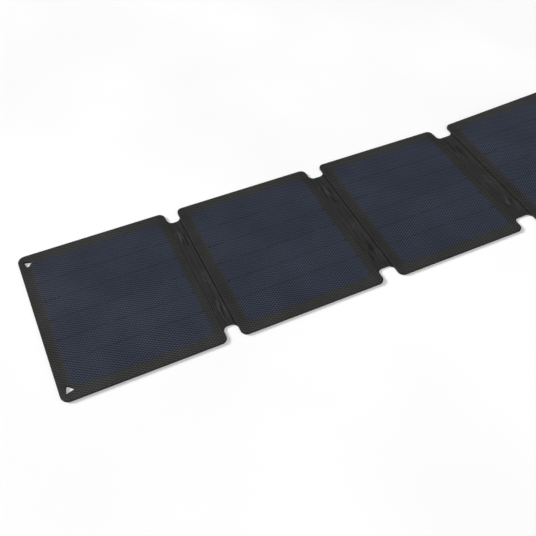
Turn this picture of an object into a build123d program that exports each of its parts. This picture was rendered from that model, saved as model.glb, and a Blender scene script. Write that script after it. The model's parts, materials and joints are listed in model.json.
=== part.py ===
"""Folding camping solar panel: four rigid leaves in a row, joined by cloth hinges.

The strip lies open with its cells facing up. X runs along the strip from the first leaf to the
fourth, Y from the front edge to the back edge and Z up. The origin is on the ground under the
middle of the strip. The fourth leaf carries the output box on its back, near its outer end, so it
stands a few degrees higher there. Every leaf is drawn on its own plane, which has its origin in the
middle of the leaf's back face.
"""

import os
from math import asin, atan2, cos, degrees, hypot, sin

from build123d import *

# ---------------------------------------------------------------- driving dimensions, mm

# leaves
leaf_count = 4
leaf_width = 183.0
leaf_depth = 210.0
outer_corner_radius = 9.3
hinge_corner_radius = 7.5

# layers of a leaf, from the back to the front
back_cloth = 0.5
board = 1.0
under_cell = 0.2
cell = 0.2
film = 0.6

# cells
first_side_border = 13.4
far_side_border = 10.0
end_border = 14.0
end_strip_depth = 33.3
strip_gap = 0.8
middle_strips = 4
cell_corner_radius = 11.0

# conductors under the cells
tab_width = 6.0
tab_reach = 2.5
tabs_per_gap = 4
tab_pitch = 38.0
bus_width = 4.0
bus_end = 9.8
bus_inset = 7.5
lead_width = 6.0
lead = 0.4
lead_inset = 41.0

# cloth hinges
first_gap = 17.0
gap_growth = 4.5
notch_depth = 19.5
notch_radius = 7.0
notch_lip = 0.5
web_tongue = 8.0
tongue_margin = 2.5
fold_slit = 0.3
fold_clearance = 0.5

# tie-down holes
tie_side_inset = 10.4
tie_end_inset = 13.4
tie_reach = 6.3
tie_radius = 1.2

# output box
box_width = 40.0
box_length = 72.0
box_depth = 10.0
box_edge = 5.0
box_corner_radius = 4.0
box_wall = 1.8
box_plate = 1.2
box_edge_radius = 0.7
seal_width = 0.8
seal = 0.5
boss_radius = 2.9
boss_inset = 4.3
screw_radius = 0.9
screw_length = 6.0
head_radius = 1.8
pilot_clearance = 0.05

# inside the box
circuit_board_thickness = 1.0
circuit_board_gap = 0.4
clearance = 0.4
pillar_radius = 1.6
pillar_step = 4.0
coil_size = 10.0
coil_height = 4.2
coil_gap = 1.5
coil_offset = -8.0
coil_radius = 1.5
capacitor_radius = 3.15
capacitor_height = 5.4
capacitor_spacing = 8.0
capacitor_offset = 9.0

# sockets in the box's outer wall
usb_a_width = 13.1
usb_a_height = 5.7
usb_a_length = 14.0
usb_a_offset = -9.0
usb_c_width = 8.9
usb_c_height = 3.2
usb_c_length = 8.0
usb_c_offset = 8.0
shell = 0.3
socket_clearance = 0.15
usb_a_tongue = 1.8
usb_a_tongue_width = 11.2
usb_c_tongue = 0.7
usb_c_tongue_width = 6.6
socket_base = 2.0
tongue_setback = 1.0
lens_radius = 1.5
lens_offset = 21.5
lens_dome = 0.5
lens_taper = 30

# cover over the sockets
cover_thickness = 1.6
cover_gap = 0.3
cover_margin = 2.5
cover_top = 1.4
cover_height = 6.8
knuckle_radius = 1.5
pin_radius = 0.8
pin_clearance = 0.05
ear = 1.3
ear_gap = 0.2
ear_top = 0.4
grip = 1.2

# ---------------------------------------------------------------- sizes that follow

board_back = back_cloth
board_front = board_back + board
cell_back = board_front + under_cell
film_back = cell_back + cell
leaf_thickness = film_back + film
lead_back = board_front - lead

gaps = [first_gap + gap_growth * index for index in range(leaf_count - 1)]
last_gap = gaps[-1]
valley_axis = leaf_thickness + fold_clearance

half_width = leaf_width / 2
half_depth = leaf_depth / 2
web_half = half_depth - notch_depth
tongue_half = web_half + notch_radius + tongue_margin
lead_offset = half_depth - lead_inset

cell_area_width = leaf_width - first_side_border - far_side_border
cell_area_depth = leaf_depth - 2 * end_border
cell_area_shift = (first_side_border - far_side_border) / 2
strip_step = (cell_area_depth - 2 * end_strip_depth - strip_gap) / middle_strips
strip_depth = strip_step - strip_gap
gap_rows = middle_strips + 1
bus_offset = cell_area_depth / 2 - bus_inset
bus_length = cell_area_width - 2 * bus_end

box_outer = half_width - box_edge
box_inner = box_outer - box_width
box_middle = (box_outer + box_inner) / 2
base_depth = box_depth - box_plate
half_box = box_length / 2
cavity_half = half_box - box_wall
lead_port_x = box_inner + box_wall + lead_width
lead_port_y = cavity_half - lead_width - 2 * boss_radius
coil_x = box_outer - usb_a_length - coil_gap - coil_size / 2

circuit_back = -(base_depth - circuit_board_gap)
circuit_front = circuit_back + circuit_board_thickness
usb_a_middle = circuit_front + usb_a_height / 2
usb_c_middle = circuit_front + usb_c_height / 2

cover_start = usb_a_offset - usb_a_width / 2 - cover_margin
cover_end = usb_c_offset + usb_c_width / 2 + cover_margin
hinge_x = box_outer + cover_gap + knuckle_radius
hinge_y = cover_start - knuckle_radius
knuckle_top = -(ear_top + ear + ear_gap)
knuckle_bottom = -(base_depth - ear - ear_gap)

# The box's lower inner edge stands on the ground, which sets how far the last leaf tips up.
box_reach = last_gap / 2 + half_width + box_inner
edge_drop = valley_axis + box_depth
edge_distance = hypot(edge_drop, box_reach)
rest_tilt = atan2(edge_drop, box_reach) - asin(valley_axis / edge_distance)

last_fold = leaf_width * (leaf_count - 1) + sum(gaps) - last_gap / 2
last_leaf_reach = (last_gap / 2 + leaf_width) * cos(rest_tilt) + valley_axis * sin(rest_tilt)
strip_length = last_fold + last_leaf_reach


# ---------------------------------------------------------------- places and outlines


def fold_x(number):
    """X of the line that a hinge folds on, numbered from the first leaf."""
    return leaf_width * number + sum(gaps[:number]) - gaps[number - 1] / 2 - strip_length / 2


def leaf_plane(number, height=0.0):
    """The plane of a leaf, raised from its back face by height."""
    if number < leaf_count:
        middle = leaf_width * (number - 0.5) + sum(gaps[: number - 1]) - strip_length / 2
        return Plane.XY.offset(height).move(Location((middle, 0, 0)))
    along = last_gap / 2 + half_width
    turned_x = along * cos(rest_tilt) + valley_axis * sin(rest_tilt)
    turned_z = along * sin(rest_tilt) - valley_axis * cos(rest_tilt)
    back = Plane(
        origin=(fold_x(leaf_count - 1) + turned_x, 0, valley_axis + turned_z),
        x_dir=(cos(rest_tilt), 0, sin(rest_tilt)),
        z_dir=(-sin(rest_tilt), 0, cos(rest_tilt)),
    )
    return back.offset(height)


def hinge_sides(number):
    """The sides of a leaf that a hinge leaves from: -1 towards the first leaf, 1 away from it."""
    sides = [-1, 1]
    if number == 1:
        sides.remove(-1)
    if number == leaf_count:
        sides.remove(1)
    return sides


def side_reach(number, side):
    """How far from a leaf's middle its half of a hinge ends, or the leaf where it has no hinge."""
    if side not in hinge_sides(number):
        return half_width
    gap = gaps[number - 1] if side > 0 else gaps[number - 2]
    return half_width + (gap - fold_slit) / 2


def leaf_outline(number):
    """A leaf seen from above, with its rounded corners and its tie-down holes."""
    with BuildSketch() as outline:
        Rectangle(leaf_width, leaf_depth)
        for side in (-1, 1):
            corners = outline.vertices().filter_by(lambda v, side=side: v.X * side > half_width / 2)
            hinged = side in hinge_sides(number)
            fillet(corners, hinge_corner_radius if hinged else outer_corner_radius)
        for side in (-1, 1):
            if side in hinge_sides(number):
                continue
            for end in (-1, 1):
                place = (side * (half_width - tie_side_inset), end * (half_depth - tie_end_inset))
                with Locations(place):
                    add(tie_hole(side, end), mode=Mode.SUBTRACT)
    return outline.sketch


def tie_hole(side, end):
    """A rounded triangle that points at the corner of the leaf it lies in."""
    with BuildSketch() as hole:
        RegularPolygon(tie_reach, 3, rotation=degrees(atan2(end, side)))
        fillet(hole.vertices(), tie_radius)
    return hole.sketch


def web_outline(number, side):
    """Half of a cloth hinge with the tongue that lies inside the leaf."""
    reach = side_reach(number, side) - half_width
    radius = min(notch_radius, reach - notch_lip)
    with BuildSketch() as outline:
        with Locations((side * (half_width - web_tongue / 2), 0)):
            Rectangle(web_tongue, 2 * tongue_half)
        with Locations((side * (half_width + reach / 2), 0)):
            Rectangle(reach, 2 * web_half)
        inner = [
            v for v in outline.vertices()
            if abs(abs(v.Y) - web_half) < radius / 2 and abs(abs(v.X) - half_width) < reach / 2
        ]
        fillet(inner, radius)
    return outline.sketch


def lead_outline(number):
    """The two flat leads of a leaf: straight along the strip, and turned in to the output box."""
    start = -lead_width if number == 1 else -side_reach(number, -1)
    end = lead_port_x + lead_width / 2 if number == leaf_count else side_reach(number, 1)
    with BuildSketch() as outline:
        for side in (-1, 1):
            with Locations(((start + end) / 2, side * lead_offset)):
                Rectangle(end - start, lead_width)
            if number == leaf_count:
                run = lead_offset - lead_port_y
                with Locations((lead_port_x, side * (lead_port_y + run / 2))):
                    Rectangle(lead_width, run)
    return outline.sketch


def lead_slots():
    """The two slots that the leads drop through on their way into the output box."""
    with BuildSketch() as slots:
        with Locations(*[(lead_port_x, side * (lead_port_y + lead / 2)) for side in (-1, 1)]):
            Rectangle(lead_width + clearance, lead + clearance)
    return slots.sketch


def cell_outline():
    """The strips of cell that cover a leaf, in one sketch."""
    with BuildSketch() as outline:
        for side in (-1, 1):
            end_middle = side * (cell_area_depth - end_strip_depth) / 2
            with Locations((cell_area_shift, end_middle)):
                Rectangle(cell_area_width, end_strip_depth)
            outer = outline.vertices().group_by(Axis.Y)[-1 if side > 0 else 0]
            fillet(outer, cell_corner_radius)
        with Locations((cell_area_shift, 0)):
            with GridLocations(0, strip_step, 1, middle_strips):
                Rectangle(cell_area_width, strip_depth)
    return outline.sketch


def tab_outline():
    """The tabs that join strip to strip, and the bus ribbon under each end strip."""
    with BuildSketch() as outline:
        with Locations((cell_area_shift, 0)):
            with GridLocations(tab_pitch, strip_step, tabs_per_gap, gap_rows):
                Rectangle(tab_width, strip_gap + 2 * tab_reach)
        for side in (-1, 1):
            with Locations((cell_area_shift, side * bus_offset)):
                Rectangle(bus_length, bus_width)
            stub = bus_offset - lead_offset + lead_width / 2
            with Locations((0, side * (bus_offset - stub / 2))):
                Rectangle(bus_width, stub)
    return outline.sketch


def box_outline(inset=0.0):
    """The output box seen from above, drawn in by inset."""
    with BuildSketch() as outline:
        with Locations((box_middle, 0)):
            RectangleRounded(
                box_width - 2 * inset,
                box_length - 2 * inset,
                max(box_corner_radius - inset, box_plate),
            )
    return outline.sketch


def boss_places():
    """Where the four lid screws stand."""
    reach_x = box_width / 2 - boss_inset
    reach_y = half_box - boss_inset
    return [(box_middle + x * reach_x, y * reach_y) for x in (-1, 1) for y in (-1, 1)]


def pillar_places():
    """Where the two pillars hold the circuit board down."""
    return [(lead_port_x, side * (lead_port_y - pillar_step)) for side in (-1, 1)]


def wall_plane(x, z):
    """A plane across the last leaf, facing outwards, with its own X along the box's outer wall."""
    back = leaf_plane(leaf_count)
    origin = back.from_local_coords(Vector(x, 0, z))
    return Plane(origin=origin, x_dir=(0, 1, 0), z_dir=back.x_dir)


# ---------------------------------------------------------------- the pieces of a leaf


def make_back_fabric(number):
    """The woven cloth on the back of a leaf."""
    with BuildPart() as back_fabric:
        with BuildSketch(leaf_plane(number)):
            add(leaf_outline(number))
            if number == leaf_count:
                add(lead_slots(), mode=Mode.SUBTRACT)
        extrude(amount=back_cloth)
    return back_fabric


def make_core_board(number):
    """The stiff board, cut back where the hinge tongues lie and grooved for the leads."""
    with BuildPart() as core_board:
        with BuildSketch(leaf_plane(number, board_back)):
            add(leaf_outline(number))
            for side in hinge_sides(number):
                with Locations((side * (half_width - web_tongue / 2), 0)):
                    Rectangle(web_tongue, 2 * tongue_half, mode=Mode.SUBTRACT)
            if number == leaf_count:
                add(lead_slots(), mode=Mode.SUBTRACT)
        extrude(amount=board)
        with BuildSketch(leaf_plane(number, lead_back)):
            add(lead_outline(number))
        extrude(amount=lead, mode=Mode.SUBTRACT)
    return core_board


def make_leads(number):
    """The two flat copper leads; in the last leaf they drop through the slots to the circuit."""
    with BuildPart() as leads:
        with BuildSketch(leaf_plane(number, lead_back)):
            add(lead_outline(number))
        extrude(amount=lead)
        if number == leaf_count:
            with BuildSketch(leaf_plane(number, circuit_front)):
                with Locations(*[(lead_port_x, side * (lead_port_y + lead / 2)) for side in (-1, 1)]):
                    Rectangle(lead_width, lead)
            extrude(amount=board_front - circuit_front)
    return leads


def make_encapsulant(number):
    """The clear sheet that the cells and tabs are bedded in."""
    with BuildPart() as encapsulant:
        with BuildSketch(leaf_plane(number, board_front)):
            add(leaf_outline(number))
        extrude(amount=under_cell + cell)
        with BuildSketch(leaf_plane(number, board_front)):
            add(tab_outline())
        extrude(amount=under_cell, mode=Mode.SUBTRACT)
        with BuildSketch(leaf_plane(number, cell_back)):
            add(cell_outline())
        extrude(amount=cell, mode=Mode.SUBTRACT)
    return encapsulant


def make_cell_tabs(number):
    """The ribbons under the cells."""
    with BuildPart() as cell_tabs:
        with BuildSketch(leaf_plane(number, board_front)):
            add(tab_outline())
        extrude(amount=under_cell)
    return cell_tabs


def make_cell_strips(number):
    """The six strips of cell."""
    with BuildPart() as cell_strips:
        with BuildSketch(leaf_plane(number, cell_back)):
            add(cell_outline())
        extrude(amount=cell)
    return cell_strips


def make_front_film(number):
    """The tough film over the whole front of a leaf."""
    with BuildPart() as front_film:
        with BuildSketch(leaf_plane(number, film_back)):
            add(leaf_outline(number))
        extrude(amount=film)
    return front_film


def make_hinge_web(number, side):
    """The half of a cloth hinge that moves with one leaf."""
    with BuildPart() as hinge_web:
        with BuildSketch(leaf_plane(number, board_back)):
            add(web_outline(number, side))
        extrude(amount=board)
        with BuildSketch(leaf_plane(number, lead_back)):
            add(lead_outline(number))
        extrude(amount=lead, mode=Mode.SUBTRACT)
    return hinge_web


# ---------------------------------------------------------------- the output box


def make_box_base():
    """The tray glued to the last leaf's back, open downwards, with bosses, ports and ears."""
    ears = cover_ears()
    openings = port_openings()
    with BuildPart() as box_base:
        with BuildSketch(leaf_plane(leaf_count, -base_depth)):
            add(box_outline())
        extrude(amount=base_depth)
        with BuildSketch(leaf_plane(leaf_count, -base_depth)):
            add(box_outline(box_wall))
        extrude(amount=base_depth - box_plate, mode=Mode.SUBTRACT)
        with BuildSketch(leaf_plane(leaf_count, -base_depth)):
            with Locations(*boss_places()):
                Circle(boss_radius)
            add(box_outline(), mode=Mode.INTERSECT)
        extrude(amount=base_depth)
        with BuildSketch(leaf_plane(leaf_count, circuit_front)):
            with Locations(*pillar_places()):
                Circle(pillar_radius)
        extrude(amount=-circuit_front)
        with BuildSketch(leaf_plane(leaf_count, -base_depth)):
            with Locations(*boss_places()):
                Circle(screw_radius + pilot_clearance)
        extrude(amount=screw_length, mode=Mode.SUBTRACT)
        add(ears)
        with BuildSketch(leaf_plane(leaf_count, -base_depth)):
            add(seal_outline())
        extrude(amount=seal, mode=Mode.SUBTRACT)
        with BuildSketch(leaf_plane(leaf_count, -box_plate)):
            add(lead_slots())
        extrude(amount=box_plate, mode=Mode.SUBTRACT)
        add(openings, mode=Mode.SUBTRACT)
    return box_base


def cover_ears():
    """Two ears that hold the cover's pin, above and below its knuckle."""
    root = box_wall / 2
    with BuildPart() as ears:
        for low in (-(ear_top + ear), -base_depth):
            with BuildSketch(leaf_plane(leaf_count, low)):
                with Locations((hinge_x, hinge_y)):
                    Circle(knuckle_radius)
                with Locations(((hinge_x + box_outer - root) / 2, hinge_y)):
                    Rectangle(hinge_x - box_outer + root, 2 * knuckle_radius)
                with Locations((hinge_x, hinge_y)):
                    Circle(pin_radius, mode=Mode.SUBTRACT)
            extrude(amount=ear)
    return ears.part


def port_openings():
    """What is cut from the outer wall for both sockets and for the light."""
    with BuildPart() as openings:
        with BuildSketch(wall_plane(box_outer, usb_a_middle)):
            with Locations((usb_a_offset, 0)):
                Rectangle(usb_a_width + 2 * socket_clearance, usb_a_height + 2 * socket_clearance)
        extrude(amount=-box_wall - clearance)
        with BuildSketch(wall_plane(box_outer, usb_c_middle)):
            with Locations((usb_c_offset, 0)):
                SlotOverall(usb_c_width + 2 * socket_clearance, usb_c_height + 2 * socket_clearance)
            with Locations((lens_offset, 0)):
                Circle(lens_radius)
        extrude(amount=-box_wall - clearance)
    return openings.part


def seal_outline():
    """The ring that the lid seal lies in, in the middle of the box's rim."""
    inset = (box_wall - seal_width) / 2
    with BuildSketch() as ring:
        add(box_outline(inset))
        add(box_outline(inset + seal_width), mode=Mode.SUBTRACT)
    return ring.sketch


def make_lid_seal():
    """The rubber ring between the tray and its lid."""
    with BuildPart() as lid_seal:
        with BuildSketch(leaf_plane(leaf_count, -base_depth)):
            add(seal_outline())
        extrude(amount=seal)
    return lid_seal


def make_box_lid():
    """The plate that closes the box from below, countersunk for its screws."""
    with BuildPart() as box_lid:
        with BuildSketch(leaf_plane(leaf_count, -box_depth)):
            add(box_outline())
        extrude(amount=box_plate)
        back = leaf_plane(leaf_count, -box_depth)
        rim = box_lid.faces().sort_by(Axis(back.origin, back.z_dir))[0].edges()
        fillet(rim, box_edge_radius)
        with Locations(back.location):
            with Locations(*boss_places()):
                Cone(
                    head_radius,
                    screw_radius + pilot_clearance,
                    box_plate,
                    align=(Align.CENTER, Align.CENTER, Align.MIN),
                    mode=Mode.SUBTRACT,
                )
    return box_lid


def make_lid_screws():
    """Four countersunk screws, flush with the lid."""
    with BuildPart() as lid_screws:
        with Locations(leaf_plane(leaf_count, -box_depth).location):
            with Locations(*boss_places()):
                Cone(
                    head_radius,
                    screw_radius,
                    box_plate,
                    align=(Align.CENTER, Align.CENTER, Align.MIN),
                )
        with BuildSketch(leaf_plane(leaf_count, -base_depth)):
            with Locations(*boss_places()):
                Circle(screw_radius)
        extrude(amount=screw_length - clearance)
    return lid_screws


def make_circuit_board():
    """The charging circuit's board, cut out round the screw bosses."""
    with BuildPart() as circuit_board:
        with BuildSketch(leaf_plane(leaf_count, circuit_back)):
            add(box_outline(box_wall + clearance))
            with Locations(*boss_places()):
                Circle(boss_radius + clearance, mode=Mode.SUBTRACT)
        extrude(amount=circuit_board_thickness)
    return circuit_board


def make_power_coil():
    """The converter's square coil."""
    with BuildPart() as power_coil:
        with BuildSketch(leaf_plane(leaf_count, circuit_front)):
            with Locations((coil_x, coil_offset)):
                RectangleRounded(coil_size, coil_size, coil_radius)
        extrude(amount=coil_height)
    return power_coil


def make_capacitors():
    """Two can capacitors beside the coil."""
    with BuildPart() as capacitors:
        with BuildSketch(leaf_plane(leaf_count, circuit_front)):
            with Locations((coil_x, capacitor_offset)):
                with GridLocations(0, capacitor_spacing, 1, 2):
                    Circle(capacitor_radius)
        extrude(amount=capacitor_height)
    return capacitors


def make_usb_a_shell():
    """The steel shell of the larger socket, closed at its inner end by the insert."""
    with BuildPart() as usb_a_shell:
        with BuildSketch(wall_plane(box_outer, usb_a_middle)):
            with Locations((usb_a_offset, 0)):
                Rectangle(usb_a_width, usb_a_height)
                Rectangle(usb_a_width - 2 * shell, usb_a_height - 2 * shell, mode=Mode.SUBTRACT)
        extrude(amount=-usb_a_length)
    return usb_a_shell


def make_usb_a_insert():
    """The plastic block at the back of the larger socket and the tongue that carries its contacts."""
    with BuildPart() as usb_a_insert:
        with BuildSketch(wall_plane(box_outer - usb_a_length, usb_a_middle)):
            with Locations((usb_a_offset, 0)):
                Rectangle(usb_a_width - 2 * shell, usb_a_height - 2 * shell)
        extrude(amount=socket_base)
        tongue_middle = (usb_a_height / 2 - shell) - usb_a_tongue / 2 - clearance
        with BuildSketch(wall_plane(box_outer - usb_a_length, usb_a_middle)):
            with Locations((usb_a_offset, -tongue_middle)):
                Rectangle(usb_a_tongue_width, usb_a_tongue)
        extrude(amount=usb_a_length - tongue_setback)
    return usb_a_insert


def make_usb_c_shell():
    """The steel shell of the smaller, oval socket."""
    with BuildPart() as usb_c_shell:
        with BuildSketch(wall_plane(box_outer, usb_c_middle)):
            with Locations((usb_c_offset, 0)):
                SlotOverall(usb_c_width, usb_c_height)
                SlotOverall(usb_c_width - 2 * shell, usb_c_height - 2 * shell, mode=Mode.SUBTRACT)
        extrude(amount=-usb_c_length)
    return usb_c_shell


def make_usb_c_insert():
    """The plastic back and the thin middle tongue of the smaller socket."""
    with BuildPart() as usb_c_insert:
        with BuildSketch(wall_plane(box_outer - usb_c_length, usb_c_middle)):
            with Locations((usb_c_offset, 0)):
                SlotOverall(usb_c_width - 2 * shell, usb_c_height - 2 * shell)
        extrude(amount=socket_base)
        with BuildSketch(wall_plane(box_outer - usb_c_length, usb_c_middle)):
            with Locations((usb_c_offset, 0)):
                Rectangle(usb_c_tongue_width, usb_c_tongue)
        extrude(amount=usb_c_length - tongue_setback)
    return usb_c_insert


def make_status_lens():
    """The clear lens of the charging light, with a low dome outside."""
    with BuildPart() as status_lens:
        with BuildSketch(wall_plane(box_outer, usb_c_middle)):
            with Locations((lens_offset, 0)):
                Circle(lens_radius)
        extrude(amount=-box_wall)
        with BuildSketch(wall_plane(box_outer, usb_c_middle)):
            with Locations((lens_offset, 0)):
                Circle(lens_radius)
        extrude(amount=lens_dome, taper=lens_taper)
    return status_lens


def make_cover_pin():
    """The steel pin through both ears and the cover's knuckle."""
    with BuildPart() as cover_pin:
        with BuildSketch(leaf_plane(leaf_count, -base_depth)):
            with Locations((hinge_x, hinge_y)):
                Circle(pin_radius)
        extrude(amount=base_depth - ear_top)
    return cover_pin


def make_port_cover():
    """The rubber cover that swings out sideways from the sockets."""
    slab_inner = box_outer + cover_gap
    with BuildPart() as port_cover:
        with BuildSketch(leaf_plane(leaf_count, -cover_top - cover_height)):
            with Locations((slab_inner + cover_thickness / 2, (cover_start + cover_end) / 2)):
                Rectangle(cover_thickness, cover_end - cover_start)
            with Locations((slab_inner + cover_thickness, cover_end - grip / 2)):
                Circle(grip / 2)
        extrude(amount=cover_height)
        with BuildSketch(leaf_plane(leaf_count, knuckle_bottom)):
            with Locations((hinge_x, hinge_y)):
                Circle(knuckle_radius)
            with Locations((slab_inner + cover_thickness / 2, (hinge_y + cover_start) / 2)):
                Rectangle(cover_thickness, knuckle_radius)
        extrude(amount=knuckle_top - knuckle_bottom)
        with BuildSketch(leaf_plane(leaf_count, knuckle_bottom)):
            with Locations((hinge_x, hinge_y)):
                Circle(pin_radius + pin_clearance)
        extrude(amount=knuckle_top - knuckle_bottom, mode=Mode.SUBTRACT)
    return port_cover


# ---------------------------------------------------------------- build and export


def save(piece, name):
    """Label a finished piece and write its file."""
    piece.part.label = name
    export_step(piece.part, f"parts/{name}.step")


os.makedirs("parts", exist_ok=True)

for leaf in range(1, leaf_count + 1):
    save(make_back_fabric(leaf), f"back_fabric_{leaf}")
    save(make_core_board(leaf), f"core_board_{leaf}")
    save(make_leads(leaf), f"leads_{leaf}")
    save(make_encapsulant(leaf), f"encapsulant_{leaf}")
    save(make_cell_tabs(leaf), f"cell_tabs_{leaf}")
    save(make_cell_strips(leaf), f"cell_strips_{leaf}")
    save(make_front_film(leaf), f"front_film_{leaf}")

for hinge in range(1, leaf_count):
    save(make_hinge_web(hinge, 1), f"hinge_web_{hinge}_left")
    save(make_hinge_web(hinge + 1, -1), f"hinge_web_{hinge}_right")

save(make_box_base(), "box_base")
save(make_box_lid(), "box_lid")
save(make_lid_seal(), "lid_seal")
save(make_lid_screws(), "lid_screws")
save(make_circuit_board(), "circuit_board")
save(make_power_coil(), "power_coil")
save(make_capacitors(), "capacitors")
save(make_usb_a_shell(), "usb_a_shell")
save(make_usb_a_insert(), "usb_a_insert")
save(make_usb_c_shell(), "usb_c_shell")
save(make_usb_c_insert(), "usb_c_insert")
save(make_status_lens(), "status_lens")
save(make_cover_pin(), "cover_pin")
save(make_port_cover(), "port_cover")

print(f"strip length {strip_length:.3f} mm, last leaf tipped up {degrees(rest_tilt):.4f} degrees")
for hinge in range(1, leaf_count):
    height = valley_axis if hinge % 2 else -fold_clearance
    print(f"fold {hinge}: x {fold_x(hinge):.4f}, z {height:.4f}")
cover_axis = leaf_plane(leaf_count).from_local_coords(Vector(hinge_x, hinge_y, 0))
print(f"cover hinge: {cover_axis.X:.4f}, {cover_axis.Y:.4f}, {cover_axis.Z:.4f}")
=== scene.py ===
"""Looks of the folding solar panel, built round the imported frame.

Lengths are in millimetres in the shape functions. They work in a leaf's own axes: x along the
strip and y across it, both from the middle of the leaf, and z up from its back face. A hinge
cloth's x starts at its fold line instead. Meshes are turned into the part's frame, in metres, as
they are made.
"""

import json
import math

import bpy
import numpy as np
from mathutils import Matrix, Vector
from mathutils.geometry import delaunay_2d_cdt


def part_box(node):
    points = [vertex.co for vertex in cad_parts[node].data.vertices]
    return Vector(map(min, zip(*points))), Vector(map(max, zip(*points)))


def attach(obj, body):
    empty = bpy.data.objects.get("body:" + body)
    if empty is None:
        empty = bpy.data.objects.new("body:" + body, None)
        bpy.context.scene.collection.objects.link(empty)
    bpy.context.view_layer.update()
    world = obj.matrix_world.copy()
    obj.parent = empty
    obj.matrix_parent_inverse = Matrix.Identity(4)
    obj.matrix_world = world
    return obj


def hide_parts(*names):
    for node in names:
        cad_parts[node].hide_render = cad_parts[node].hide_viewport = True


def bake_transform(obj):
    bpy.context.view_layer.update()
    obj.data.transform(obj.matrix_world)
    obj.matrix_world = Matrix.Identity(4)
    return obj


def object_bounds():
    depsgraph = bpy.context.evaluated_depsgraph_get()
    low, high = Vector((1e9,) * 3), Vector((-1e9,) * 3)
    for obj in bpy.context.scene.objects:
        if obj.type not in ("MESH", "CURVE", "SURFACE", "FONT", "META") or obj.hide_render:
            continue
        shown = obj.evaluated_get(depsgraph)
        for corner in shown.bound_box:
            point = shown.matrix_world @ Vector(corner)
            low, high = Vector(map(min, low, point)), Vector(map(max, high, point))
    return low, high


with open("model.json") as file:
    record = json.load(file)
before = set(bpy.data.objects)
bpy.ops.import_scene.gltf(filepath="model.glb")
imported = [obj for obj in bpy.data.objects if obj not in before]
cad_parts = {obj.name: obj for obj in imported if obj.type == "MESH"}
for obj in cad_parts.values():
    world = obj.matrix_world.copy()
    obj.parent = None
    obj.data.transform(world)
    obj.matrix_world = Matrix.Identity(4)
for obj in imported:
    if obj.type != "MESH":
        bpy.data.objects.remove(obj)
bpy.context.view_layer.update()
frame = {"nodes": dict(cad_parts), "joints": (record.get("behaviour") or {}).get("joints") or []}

MM = 0.001
FAR = 1e9
LEAVES = 4
JOINTS = {joint["name"]: joint for joint in frame["joints"]}


# ---------------------------------------------------------------- sizes read from the frame


def span(node, axis):
    """Lowest and highest coordinate of a CAD node along one axis, in millimetres."""
    low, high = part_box(node)
    return low[axis] / MM, high[axis] / MM


def size(node, axis):
    """Extent of a CAD node along one axis, in millimetres."""
    low, high = span(node, axis)
    return high - low


WIDTH = size("front_film_2", 0)
DEPTH = size("front_film_2", 1)
THICK = span("front_film_2", 2)[1]
CLOTH = span("back_fabric_2", 2)[1]
FILM_BACK = span("front_film_2", 2)[0]
WEB_TOP = span("hinge_web_1_left", 2)[1]
WEB_END = span("hinge_web_1_left", 1)[1]
# At rest leaf 4 leans on its box, by what fold_3's range lacks of a half turn.
TILT = math.pi - math.radians(JOINTS["fold_3"]["range_deg"][1])
CELL_SIDES = [edge - sum(span("front_film_2", 0)) / 2 for edge in span("cell_strips_2", 0)]
CELL_END = span("cell_strips_2", 1)[1]
# The box of the leads' node spans both leads, so the width of one is given here.
LEAD_WIDTH = 6.0
LEAD_Y = span("leads_2", 1)[1] - LEAD_WIDTH / 2


def flat_middles():
    """X of each leaf's middle with the strip laid flat, and the gaps between the leaves."""
    sides = [span(f"front_film_{n}", 0) for n in (1, 2, 3)]
    fold = JOINTS["fold_3"]["pos_m"][0] / MM
    gaps = [sides[1][0] - sides[0][1], sides[2][0] - sides[1][1], 2 * (fold - sides[2][1])]
    middles = [sum(side) / 2 for side in sides]
    return middles + [fold + gaps[2] / 2 + WIDTH / 2], gaps


MIDDLES, GAPS = flat_middles()


def leaf_matrix(number):
    """From a leaf's own axes, in millimetres, to the part's frame, in metres."""
    place = Matrix.Translation((MIDDLES[number - 1] * MM, 0, 0))
    if number == LEAVES:
        pivot = Vector(JOINTS["fold_3"]["pos_m"])
        turn = Matrix.Rotation(-TILT, 4, "Y")
        place = Matrix.Translation(pivot) @ turn @ Matrix.Translation(-pivot) @ place
    return place @ Matrix.Scale(MM, 4)


# ---------------------------------------------------------------- outlines, in a leaf's own axes

OUTER_RADIUS = 9.3
HINGE_RADIUS = 7.5
NOTCH_RADIUS = 7.0
NOTCH_LIP = 0.5
TIE_SIDE_INSET = 10.4
TIE_END_INSET = 13.4
TIE_REACH = 6.3
TIE_RADIUS = 1.2
CELL_RADIUS = 11.0
HOLE_STEP = 0.45


def hinged(number, side):
    """Whether a leaf has a hinge on that side: -1 towards the first leaf, 1 away from it."""
    return not (number == 1 and side < 0 or number == LEAVES and side > 0)


def corner_radius(number, side):
    """Radius of a leaf's corners on one side, which is smaller beside a hinge."""
    return HINGE_RADIUS if hinged(number, side) else OUTER_RADIUS


def rounded_loop(half_x, half_y, radii, step):
    """Points round a rectangle whose left and right corners have their own radii."""
    points = []
    corners = [(1, -1, -90), (1, 1, 0), (-1, 1, 90), (-1, -1, 180)]
    for side, end, start in corners:
        radius = radii[0] if side < 0 else radii[1]
        centre = np.array([side * (half_x - radius), end * (half_y - radius)])
        count = max(4, int(math.ceil(radius * math.pi / 2 / step)))
        angles = np.radians(start + 90 * np.arange(count + 1) / count)
        arc = centre + radius * np.stack([np.cos(angles), np.sin(angles)], 1)
        if points:
            points.append(straight(points[-1][-1], arc[0], step))
        points.append(arc)
    points.append(straight(points[-1][-1], points[0][0], step))
    return np.concatenate(points)


def straight(start, end, step):
    """Points between two points, without the two themselves."""
    count = max(1, int(round(np.linalg.norm(end - start) / step)))
    share = np.arange(1, count)[:, None] / count
    return start + share * (end - start)


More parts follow.
